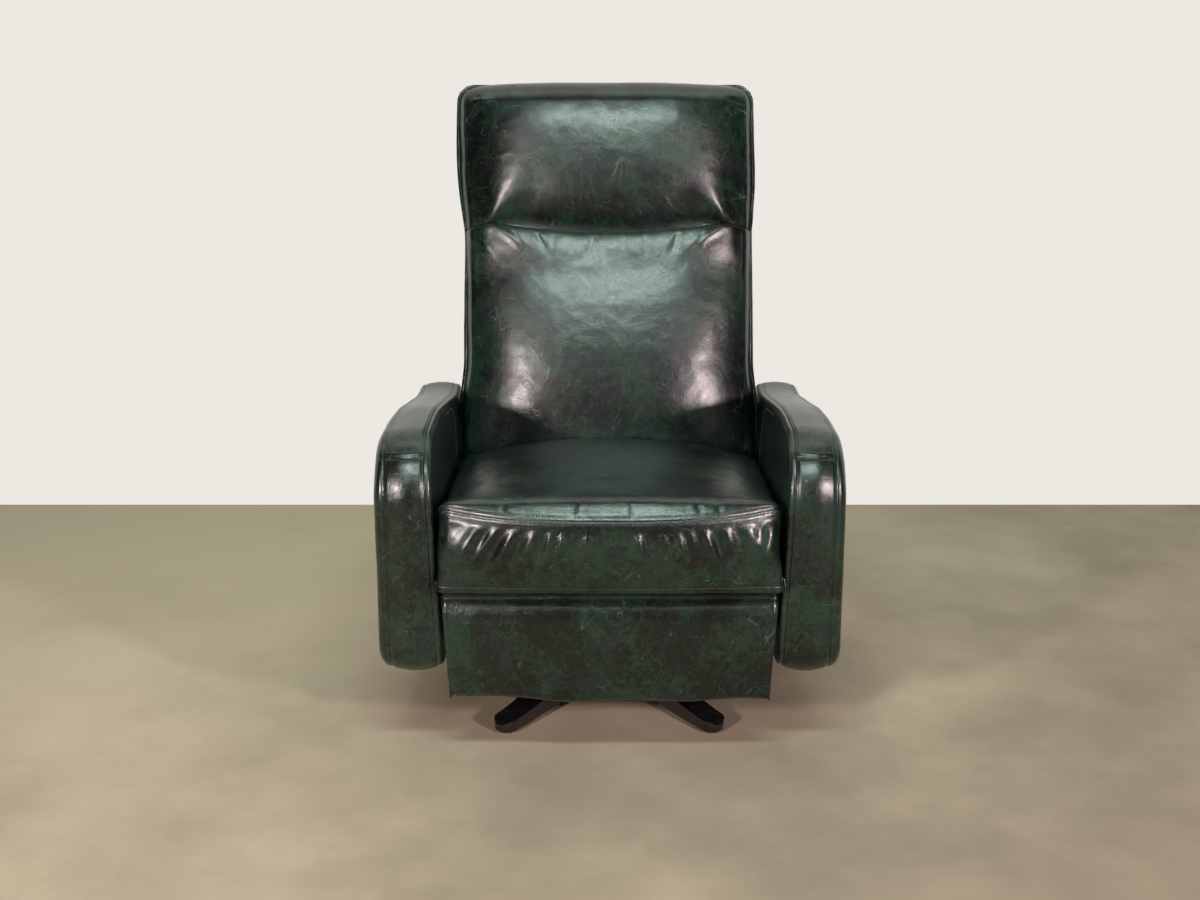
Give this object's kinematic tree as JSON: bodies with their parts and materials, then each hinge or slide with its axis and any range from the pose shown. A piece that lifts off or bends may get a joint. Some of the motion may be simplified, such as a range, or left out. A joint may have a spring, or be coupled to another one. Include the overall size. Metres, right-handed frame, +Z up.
{
  "type": "star base swivel recliner",
  "caption": "Upholstered swivel recliner with padded arms, a folding headrest, a linkage-driven footrest and a star base.",
  "frame": {"origin": "on the floor on the swivel axis, at the middle of the chair's bounding box", "axes": "+X to the sitter's left, -Y towards the front of the chair, +Z up"},
  "size_m": [0.7902, 0.8646, 1.1042],
  "materials": {
    "leather": "glossy, mottled dark green, lightly creased",
    "gloss_black": "gloss black",
    "black_steel": "satin black",
    "steel": "bright steel",
    "zinc": "zinc plated",
    "wood": "bare birch plywood",
    "webbing": "black woven elastic",
    "glide_plastic": "black"
  },
  "bodies": {
    "base": {"star_base": "gloss_black", "floor_glides": "glide_plastic", "lower_swivel_plate": "steel", "pivot_post": "steel", "base_fasteners": "zinc"},
    "bearing": {"ball_cage": "zinc", "bearing_balls": "zinc"},
    "chassis": {"upper_swivel_plate": "steel", "front_cross_beam": "black_steel", "rear_cross_beam": "black_steel", "left_side_plate": "black_steel", "right_side_plate": "black_steel", "chassis_bolts": "zinc", "front_seat_rail": "wood", "rear_seat_rail": "wood", "seat_springs": "steel", "spring_clips": "zinc", "seat_cushion": "leather", "left_arm_frame": "wood", "right_arm_frame": "wood", "left_arm_cover": "leather", "right_arm_cover": "leather", "plate_spacers": "steel", "arm_bolts": "zinc", "left_hinge_ear": "black_steel", "right_hinge_ear": "black_steel", "back_pivot_pins": "zinc", "rear_link_pins": "zinc"},
    "front_links": {"left_front_link": "steel", "right_front_link": "steel", "drive_shaft": "steel", "front_link_pins": "zinc"},
    "rear_links": {"left_rear_link": "steel", "right_rear_link": "steel"},
    "upper_links": {"left_upper_link": "steel", "right_upper_link": "steel", "upper_link_pins": "zinc"},
    "lower_links": {"left_lower_link": "steel", "right_lower_link": "steel", "lower_link_pins": "zinc"},
    "footrest": {"left_footrest_bracket": "black_steel", "right_footrest_bracket": "black_steel", "footrest_board": "wood", "footrest_pad": "leather", "footrest_screws": "zinc"},
    "back": {"left_back_post": "wood", "right_back_post": "wood", "lower_back_rail": "wood", "upper_back_rail": "wood", "back_webbing": "webbing", "left_recline_bracket": "black_steel", "right_recline_bracket": "black_steel", "friction_discs": "zinc", "back_cushion": "leather", "outer_back_panel": "leather", "head_hinge_lower": "zinc"},
    "headrest": {"head_board": "wood", "head_hinge_upper": "zinc", "head_cushion": "leather", "head_rear_panel": "leather"}
  },
  "joints": [
    {"name": "swivel", "type": "hinge", "parent": "base", "child": "chassis", "pos_m": [0, 0, 0], "axis": [0, 0, 1], "continuous": true},
    {"name": "bearing_turn", "type": "hinge", "parent": "base", "child": "bearing", "pos_m": [0, 0, 0], "axis": [0, 0, 1], "continuous": true},
    {"name": "footrest_open", "type": "hinge", "parent": "chassis", "child": "front_links", "pos_m": [0, -0.15, 0.285], "axis": [-1, 0, 0], "range_deg": [0, 98.26]},
    {"name": "rear_link_turn", "type": "hinge", "parent": "chassis", "child": "rear_links", "pos_m": [0, -0.132, 0.24], "axis": [-1, 0, 0], "range_deg": [0, 93]},
    {"name": "upper_link_turn", "type": "hinge", "parent": "front_links", "child": "upper_links", "pos_m": [0, -0.006, 0.2106], "axis": [-1, 0, 0], "range_deg": [-83.5, 0]},
    {"name": "lower_link_turn", "type": "hinge", "parent": "front_links", "child": "lower_links", "pos_m": [0, -0.005, 0.152], "axis": [-1, 0, 0], "range_deg": [-83.5, 0]},
    {"name": "footrest_tilt", "type": "hinge", "parent": "upper_links", "child": "footrest", "pos_m": [0, -0.345, 0.295], "axis": [-1, 0, 0], "range_deg": [0, 82.3]},
    {"name": "back_recline", "type": "hinge", "parent": "chassis", "child": "back", "pos_m": [0, 0.15, 0.345], "axis": [-1, 0, 0], "range_deg": [0, 38]},
    {"name": "headrest_tilt", "type": "hinge", "parent": "back", "child": "headrest", "pos_m": [0, 0.23948, 0.83349], "axis": [1, 0, 0], "range_deg": [0, 25]}
  ],
  "couplings": [
    {"joint": "bearing_turn", "follows": "swivel", "ratio": 0.5},
    {"joint": "rear_link_turn", "follows": "footrest_open", "ratio": 0.94364},
    {"joint": "upper_link_turn", "follows": "footrest_open", "ratio": -0.8474},
    {"joint": "lower_link_turn", "follows": "footrest_open", "ratio": -0.84615},
    {"joint": "footrest_tilt", "follows": "footrest_open", "ratio": 0.83454}
  ]
}
